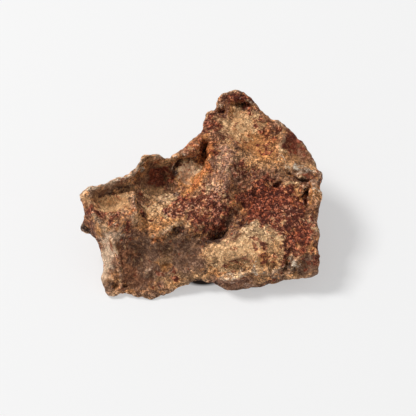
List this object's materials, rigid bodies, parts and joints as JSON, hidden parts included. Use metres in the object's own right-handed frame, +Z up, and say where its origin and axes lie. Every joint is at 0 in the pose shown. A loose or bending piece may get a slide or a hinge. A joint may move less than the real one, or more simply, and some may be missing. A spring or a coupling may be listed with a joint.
{
  "type": "iron meteorite specimen",
  "caption": "Weathered iron meteorite: a jagged, hand-sized natural lump with thumbprint hollows, a raised peak and rusty ochre and dark-brown patches.",
  "frame": {"origin": "middle of the bounding box's bottom face, on the plane that the lump rests on", "axes": "+X along the lump's greatest extent, from its left block to its scalloped right edge; +Y away from the viewer, from the front foot to the peak; +Z up"},
  "size_m": [0.0548, 0.0444, 0.0229],
  "materials": {
    "weathered_iron": "rough rusted crust with a dull sheen, ochre and rust-red patches, dark hollows and a few bare metal edges"
  },
  "bodies": {
    "root": {"meteorite": "weathered_iron"}
  },
  "joints": []
}
